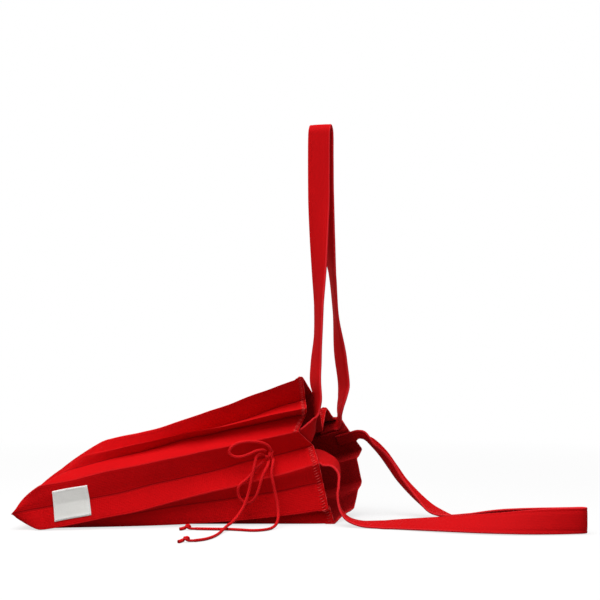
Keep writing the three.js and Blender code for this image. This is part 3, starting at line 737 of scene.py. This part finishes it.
def bottom_faces(last):
    """Faces that join the front panel to the back panel along the bottom seam, outside and in the inside
    ring that starts at the point last. There, one face at each end leads round the gusset's crease."""
    near = NEAR_CREASE * FACET_COLUMNS
    half = COLUMNS // 2
    ends = 2 * FACET_COLUMNS

    def front(step):
        return (near + step) % COLUMNS

    faces = [(near, front(1), near - 1)]
    for step in range(1, half - 1):
        faces.append((front(step), front(step + 1), near - step - 1, near - step))
    faces.append((front(half - 1), front(half), near - half + 1))
    faces.append(tuple(last + front(step) for step in range(ends, -ends - 1, -1)))
    for step in range(ends, half - ends):
        back = last + near - step
        faces.append((last + front(step + 1), last + front(step), back, back - 1))
    faces.append(tuple(last + front(step) for step in range(half + ends, half - ends - 1, -1)))
    return faces


def mark_folds(rings):
    """How near each point is to a fold: 1 on a ridge and -1 in a valley, dying out over a short way."""
    # The marks set a painted highlight on the ridges and painted shade in the valleys.
    marks = []
    for ring in rings:
        for fold in range(FOLDS):
            length = max(LEAST_MARKED, facet_length(ring[::FACET_COLUMNS], fold))
            ridge = -1 if fold % 2 else 1
            for column in range(FACET_COLUMNS):
                along_facet = column_place(length, column)
                start = max(0, 1 - along_facet / FOLD_SHADING_REACH)
                end = max(0, 1 - (length - along_facet) / FOLD_SHADING_REACH)
                marks.append(ridge * (start - end))
    return marks


def make_bag_body(material):
    """The pleated shell, from the bottom seam up its outside, over the rim and down its inside."""
    below = evenly(0, SHOULDER, SHOULDER_RINGS)[:-1]
    above = evenly(SHOULDER, HEM_START - HEM_STEP, WALL_RINGS)
    rings = [wall_ring(share, 0) for share in below + above]
    rings += [wall_ring(share, -HEM_OUTSIDE) for share in evenly(HEM_START, 1, HEM_RINGS)]
    rim_start = len(rings) * COLUMNS
    rings += [wall_ring(RIM, depth) for depth in RIM_DEPTHS]
    inside_start = len(rings) * COLUMNS
    inside = [1, HEM_START, HEM_START - HEM_STEP]
    inside += reversed(evenly(LINING_START, LINING_END, LINING_RINGS))
    rings += [wall_ring(share, WALL + (HEM_INSIDE if share >= HEM_START else 0)) for share in inside]

    facet = [column_place(FACET_WIDTH, column) for column in range(FACET_COLUMNS)]
    across = [FACET_WIDTH * fold + place for fold in range(FOLDS) for place in facet]
    across.append(FACET_WIDTH * FOLDS)
    points, faces, places = loft(rings, across, False)
    for face in bottom_faces(len(points) - COLUMNS):
        faces.append(face)
        places += [(across[index % COLUMNS], 0) for index in face]

    # The rim gets a ridge's painted highlight, and the faces inside the bag get painted shade.
    folds = mark_folds(rings)
    folds[rim_start:inside_start] = [1.0] * (inside_start - rim_start)
    painted_inner_shade = [0.0] * inside_start + [1.0] * (len(points) - inside_start)
    marks = {"fold": folds, "inside": painted_inner_shade}
    body = make_piece("bag_body_knit", points, faces, material, places, marks)
    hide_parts("bag_body")


# Handles

def sewn_end(crease_fold, edge_fold, leaves=0, width=STRAP_WIDTH, place=SEWN_PLACE, turn=1):
    """A strap's end, sewn flat inside the mouth between the gusset's crease and a panel's edge: the sewn
    end, and where the strap leaves the gusset, leaves mm inside the rim."""
    ends = []
    for inset in (leaves + STRAP_SEWN, leaves):
        share = 1 - inset / BAG_LENGTH
        crease, edge = fold_point(crease_fold, share), fold_point(edge_fold, share)
        facet = crease_fold if (crease_fold + 1) % FOLDS == edge_fold else edge_fold
        inward = facet_inward(facet, share)
        at = crease.lerp(edge, place) + inward * (WALL + STRAP_CLEARANCE + STRAP_THICKNESS / 2)
        ends.append((at, (edge - crease).normalized() * turn, width))
    return ends


def strap_section(width):
    """A strap's outline, from one edge over its face to the other, and back along its reverse side."""
    half, thick = width / 2, STRAP_THICKNESS / 2
    groove = half - GROOVE_INSET
    side = [(half - inset, rise * thick) for inset, rise in STRAP_EDGE]
    side += [(groove + GROOVE_HALF_WIDTH, thick), (groove, thick - GROOVE_DEPTH),
             (groove - GROOVE_HALF_WIDTH, thick)]
    face = [(share * half, thick + STRAP_CROWN) for share in STRAP_FACE]
    upper = side + face + [(-x, y) for x, y in reversed(side)]
    return upper + [(-x, -y) for x, y in upper]


def make_strap(name, node, places, material, cup=(0, 1, 0)):
    """A flat strap swept through its places. cup gives the first and the last place between which it is
    cupped, and how far its edges curl up."""
    cup_first, cup_last, cup_rise = cup
    middle = smooth_route([place[0] for place in places], STRAP_STEPS)
    across = smooth_route([place[1] for place in places], STRAP_STEPS)
    widths = [place[2] if len(place) > 2 else STRAP_WIDTH for place in places]
    rings = []
    for index, (point, ahead) in enumerate(zip(middle, tangents(middle))):
        interval, part = divmod(index, STRAP_STEPS)
        width = widths[interval]
        if part:
            width += (widths[interval + 1] - width) * part / STRAP_STEPS
        side = (across[index] - ahead * across[index].dot(ahead)).normalized()
        normal = side.cross(ahead)
        cup_run = min(1, max(0, (index / STRAP_STEPS - cup_first) / (cup_last - cup_first)))
        curl = cup_rise * math.sin(math.pi * cup_run) ** 2
        drawn_in = 1 - 2 / 3 * (2 * curl / width) ** 2
        ring = []
        for x, y in strap_section(width):
            raised = curl * ((2 * x / width) ** 2 - 1 / 3)
            place = point + side * x * drawn_in + normal * (y + raised)
            place.z = max(place.z, 0)
            ring.append(place)
        rings.append(ring)

    flat = strap_section(STRAP_WIDTH)
    across_cloth = [0.0]
    for a, b in zip(flat, flat[1:] + flat[:1]):
        across_cloth.append(across_cloth[-1] + math.dist(a, b))
    points, faces, cloth = loft(rings, across_cloth, True)

    # A painted highlight along both edges, and painted shade at the sewn ends that fades out past them
    half = len(flat) // 2
    edge_highlight = [1.0 if min(index, half - 1 - index) < EDGE_HIGHLIGHT_POINTS else 0.0 for index in range(half)]
    painted_inner_shade = []
    for index in range(len(rings)):
        past_sewn = min(index, len(rings) - 1 - index) / STRAP_STEPS - 1
        painted_inner_shade += [min(1.0, max(0.0, 1 - past_sewn / SEWN_SHADE_FADE))] * len(flat)
    marks = {"edge": edge_highlight * 2 * len(rings), "inside": painted_inner_shade}
    strap = make_piece(name, points, faces, material, cloth, marks)
    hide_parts(node)


def make_handles(material):
    """Two straps, each sewn to both gussets at the mouth."""
    near = sewn_end(NEAR_CREASE, FRONT_NEAR_EDGE, NEAR_SEWN_INSET)
    far = sewn_end(FAR_CREASE, FRONT_FAR_EDGE, FAR_SEWN_INSET, FAR_SEWN_WIDTH, UPPER_FAR_PLACE, -1)
    make_strap("upper_handle_strap", "upper_handle", near + UPPER_HANDLE + far[::-1], material)
    near = sewn_end(NEAR_CREASE, BACK_NEAR_EDGE, NEAR_SEWN_INSET, LOWER_NEAR_WIDTH)
    far = sewn_end(FAR_CREASE, BACK_FAR_EDGE, 0, FAR_SEWN_WIDTH, LOWER_FAR_PLACE)
    make_strap("lower_handle_strap", "lower_handle", near + LOWER_HANDLE + far[::-1], material, LOWER_CUP)


# The tie cord

def make_cord(name, strands, material, *nodes):
    """Strands of round cord as one piece. Each strand has its route and its diameter."""
    parts = []
    for route, diameter in strands:
        middle = smooth_route(route, CORD_STEPS)
        across = evenly(0, math.pi * diameter, CORD_SIDES)
        parts.append(loft(tube(middle, [diameter / 2] * len(middle), CORD_SIDES), across, True))
    points, faces, places = gather(parts)
    cord = make_piece(name, points, faces, material, places)
    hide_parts(*nodes)
    return cord


def make_bow(material):
    """The bow: its knot, two loops and two tails with a knot at the end of each."""
    wrap = []
    for step in range(WRAP_POINTS):
        angle = math.radians(WRAP_START + WRAP_TURN * step)
        aside = WRAP_ASIDE + WRAP_SWING * math.sin(angle / 2) + WRAP_PITCH * step
        turn = Vector((aside, -WRAP_DEPTH * math.cos(angle), WRAP_HEIGHT * math.sin(angle)))
        wrap.append(BOW_KNOT_AT + turn)
    cross = [BOW_KNOT_AT + Vector(place) for place in BOW_CROSS]
    core = [BOW_KNOT_AT + Vector(place) for place in BOW_CORE]
    strands = [(wrap, CORD_DIAMETER), (cross, BOW_CROSS_DIAMETER), (core, BOW_CORE_DIAMETER),
               (TIE_STEM, CORD_DIAMETER)]
    bow_knot = make_cord("bow_knot_cord", strands, material, "bow_knot", "tie_stem")

    end_knots = []
    for side, centre, tail in (("front", FRONT_KNOT_AT, FRONT_TAIL), ("rear", REAR_KNOT_AT, REAR_TAIL)):
        ahead = centre - Vector(tail[-1])
        ahead.z = 0
        ahead.normalize()
        aside = UP.cross(ahead)
        route = [centre + ahead * a + aside * b + UP * c for a, b, c in END_KNOT]
        strands = [(route, END_KNOT_DIAMETER), (route[-TIP_POINTS:], TIP_DIAMETER)]
        end_knots.append(make_cord(f"end_knot_{side}_cord", strands, material, f"end_knot_{side}"))

    stretches = (
        ("bow_loop_upper", UPPER_LOOP, "object", []),
        ("bow_loop_lower", LOWER_LOOP, "object", []),
        ("tie_tail_front", FRONT_TAIL, "knot", [end_knots[0], bow_knot]),
        ("tie_tail_rear", REAR_TAIL, "knot", [end_knots[1]]),
    )
    for node, route, far_end, with_pieces in stretches:
        cord = make_cord(f"{node}_cord", [(route, CORD_DIAMETER)], material, node)
        path = [tuple(point * MM) for point in smooth_route(route, CORD_STEPS)]


# The label

def on_label(along_label, height, lift):
    """A place on the label, lift mm off the gusset. along_label is a share of its length, and height runs
    from the middle of its width."""
    places = []
    for step in (-LABEL_BRIDGE, 0, 0, LABEL_BRIDGE):
        near = height - LABEL_DROP + step
        share = LABEL_START + (LABEL_END - LABEL_START) * along_label - LABEL_SLANT * near / BAG_LENGTH
        upper = near > 0
        crease = fold_point(NEAR_CREASE, share)
        edge = fold_point(FRONT_NEAR_EDGE if upper else BACK_NEAR_EDGE, share)
        outward = facet_inward(NEAR_CREASE if upper else BACK_NEAR_EDGE, share) * -1
        places.append(crease + (edge - crease).normalized() * abs(near) + outward * lift)
    return sum(places, Vector()) / len(places)


def make_label(material, thread):
    """A bare woven label with its ends folded under, sewn down along all its edges."""
    length = (LABEL_END - LABEL_START) * BAG_LENGTH
    rows = evenly(LABEL_END_ROWS[-1], 1 - LABEL_END_ROWS[-1], LABEL_ROWS)[1:-1]
    rows = [*LABEL_END_ROWS, *rows, *(1 - row for row in reversed(LABEL_END_ROWS))]
    heights = evenly(-LABEL_HALF_HEIGHT, LABEL_HALF_HEIGHT, LABEL_COLUMNS)
    rings = []
    edge_marks = []
    for row in rows:
        from_end = min(row, 1 - row)
        thick = LABEL_THICKNESS + (LABEL_FOLD if from_end < LABEL_FOLDED else 0)
        end_thin = LABEL_END_THIN if from_end == 0 else 1
        under = [on_label(row, height, LABEL_LIFT) for height in heights]
        over = []
        for height in reversed(heights):
            pull = LABEL_PULL * noise.noise(Vector((row, height, 1)) * LABEL_NOISE)
            side_thin = LABEL_SIDE_THIN if abs(height) == LABEL_HALF_HEIGHT else 1
            over.append(on_label(row, height, LABEL_LIFT + (thick + pull) * end_thin * side_thin))
        rings.append(under + over)
        for height in heights + heights[::-1]:
            from_edge = min(from_end * length, LABEL_HALF_HEIGHT - abs(height))
            edge_marks.append(max(0, 1 - from_edge / LABEL_EDGE))
    across = heights + [2 * LABEL_HALF_HEIGHT - height for height in reversed(heights)]
    points, faces, places = loft(rings, across + [across[-1] + 1], True)
    label = make_piece("label_tape", points, faces, material, places, {"edge": edge_marks})
    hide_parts("label")

    top = LABEL_LIFT + LABEL_THICKNESS
    stitches = []
    for height in (LABEL_STITCH_INSET - LABEL_HALF_HEIGHT, LABEL_HALF_HEIGHT - LABEL_STITCH_INSET):
        for step in range(LONG_EDGE_STITCHES):
            stitches.append([on_label((step + part) / LONG_EDGE_STITCHES, height, top + lift)
                             for part, lift in zip(STITCH_SPAN, LONG_EDGE_LIFTS)])
    for along_label in (LABEL_STITCH_INSET / length, 1 - LABEL_STITCH_INSET / length):
        for step in range(SHORT_EDGE_STITCHES):
            stitch = []
            for part, lift in zip(STITCH_SPAN, SHORT_EDGE_LIFTS):
                height = LABEL_HALF_HEIGHT * (2 * (step + part) / SHORT_EDGE_STITCHES - 1)
                stitch.append(on_label(along_label, height, top + lift))
            stitches.append(stitch)
    make_stitches("label_stitches", stitches, LABEL_THREAD, thread)


# Sewing

def make_stitches(name, stitches, thick, material):
    """One piece for a row of stitches, each a short bowed length of thread."""
    radii = [thick * share for share in STITCH_RADII]
    across = [0] * (STITCH_SIDES + 1)
    threads = gather(loft(tube(stitch, radii, STITCH_SIDES), across, True) for stitch in stitches)
    stitching = make_piece(name, threads[0], threads[1], material)


def make_hem_stitches(thread):
    """The hem is sewn down with slanted overlock stitches, and a thread runs round the rim. The slanted
    ones end at the near gusset's upper facet, where the strap covers them."""
    lines = []
    for inset, lift, lean in HEM_STITCH:
        share = 1 - inset / BAG_LENGTH
        lines.append((share, lean, *fold_line(share, -HEM_OUTSIDE - lift)))
    middle = lines[1][2]
    stitches = []
    for fold in range(NEAR_CREASE):
        length = facet_length(middle, fold)
        count = max(1, round(length / HEM_STITCH_DISTANCE))
        for step in range(count):
            along_facet = length * (step + 0.5) / count
            stitch = []
            for share, lean, corners, inward in lines:
                stands = slack(share, fold, along_facet / length)
                point = on_wall(corners, fold, along_facet + lean) - inward[fold] * stands
                point.z = max(point.z, HEM_STITCH_LOWEST)
                stitch.append(point)
            stitches.append(stitch)

    corners, inward = fold_line(RIM, RIM_THREAD_DEPTH)
    edge = []
    for fold in range(FOLDS):
        length = facet_length(corners, fold)
        for across in RIM_THREAD_PLACES:
            point = on_wall(corners, fold, length * across) - inward[fold] * slack(1, fold, across)
            point.z = max(point.z, RIM_THREAD_LOWEST)
            edge.append(point)
    edge.append(edge[0])
    stitches += [edge[start:start + 3] for start in range(0, len(edge) - 2, 2)]
    make_stitches("hem_stitches", stitches, HEM_THREAD, thread)


# The photograph's camera, the floor and the light

def make_camera():
    """A camera level with the middle of the picture, in front of the near gusset."""
    data = bpy.data.cameras.new("camera")
    data.sensor_width = CAMERA_SENSOR
    data.lens = CAMERA_LENS
    camera = bpy.data.objects.new("camera", data)
    camera.location = CAMERA_AT
    camera.rotation_euler = (math.pi / 2, 0, 0)
    bpy.context.collection.objects.link(camera)
    bpy.context.scene.camera = camera


def seen_directly(tree):
    """1 for what the camera sees, or what shows in a gloss or through glass."""
    path = add(tree, 'ShaderNodeLightPath')
    seen = path.outputs['Is Camera Ray']
    for ray in ('Is Glossy Ray', 'Is Transmission Ray'):
        seen = add(tree, 'ShaderNodeMath', {0: seen, 1: path.outputs[ray]}, operation='MAXIMUM').outputs[0]
    return seen


def white_paper_floor():
    """White studio paper, matt and plain. It keeps the bag's soft shadow, glows white further off, and
    throws only a grey light back up at the bag."""
    material, tree = new_material("white_paper_floor")
    colour = add(tree, 'ShaderNodeMix', {
        'Factor': seen_directly(tree), 'A': linear("#8c8c8c"), 'B': linear("#f8f8f8"),
    }, data_type='RGBA').outputs['Result']
    paper = add(tree, 'ShaderNodeBsdfDiffuse', {'Color': colour}).outputs[0]
    glow = add(tree, 'ShaderNodeEmission', {'Color': (1, 1, 1, 1), 'Strength': 1}).outputs[0]
    place = add(tree, 'ShaderNodeTexCoord').outputs['Object']
    away = add(tree, 'ShaderNodeVectorMath', {0: place}, operation='LENGTH').outputs['Value']
    white = add(tree, 'ShaderNodeMapRange', {
        'Value': away, 'From Min': FLOOR_NEAR, 'From Max': FLOOR_FAR, 'To Min': FLOOR_GLOW, 'To Max': 1.0,
    }).outputs[0]
    share = add(tree, 'ShaderNodeMath', {0: seen_directly(tree), 1: white}, operation='MULTIPLY').outputs[0]
    mixed = add(tree, 'ShaderNodeMixShader', {0: share, 1: paper, 2: glow})
    add(tree, 'ShaderNodeOutputMaterial', {'Surface': mixed.outputs[0]})
    return material


def make_studio():
    """A white floor, white all round, a wide soft lamp overhead and a weak one in front."""
    bpy.ops.object.select_all(action='DESELECT')
    bpy.ops.mesh.primitive_plane_add(size=FLOOR_SIZE, location=(0, 0, 0))
    floor = bpy.context.active_object
    floor.name = "floor"
    floor.data.materials.append(white_paper_floor())

    world = bpy.data.worlds.new("white_room")
    bpy.context.scene.world = world
    world.use_nodes = True
    tree = world.node_tree
    tree.nodes.clear()
    strength = add(tree, 'ShaderNodeMapRange', {
        'Value': seen_directly(tree), 'To Min': ROOM_LIGHT, 'To Max': 1.0,
    }).outputs[0]
    sky = add(tree, 'ShaderNodeBackground', {'Color': (1, 1, 1, 1), 'Strength': strength})
    add(tree, 'ShaderNodeOutputWorld', {'Surface': sky.outputs[0]})

    for name, power, size, place, turn in LAMPS:
        data = bpy.data.lights.new(name, 'AREA')
        data.energy = power
        data.size = size
        lamp = bpy.data.objects.new(name, data)
        lamp.location = place
        lamp.rotation_euler = [math.radians(angle) for angle in turn]
        bpy.context.collection.objects.link(lamp)


make_camera()
make_bow(braided_polyester_cord())
make_bag_body(pleated_polyester_knit())
make_handles(knit_strap_tape())
make_label(woven_label_tape(), sewing_thread("white_sewing_thread", "#f4f3f0", "#d9d8d4"))
make_hem_stitches(sewing_thread("red_sewing_thread", "#f04a4a", "#d01c20"))
make_studio()
bpy.context.scene.view_settings.view_transform = 'Standard'
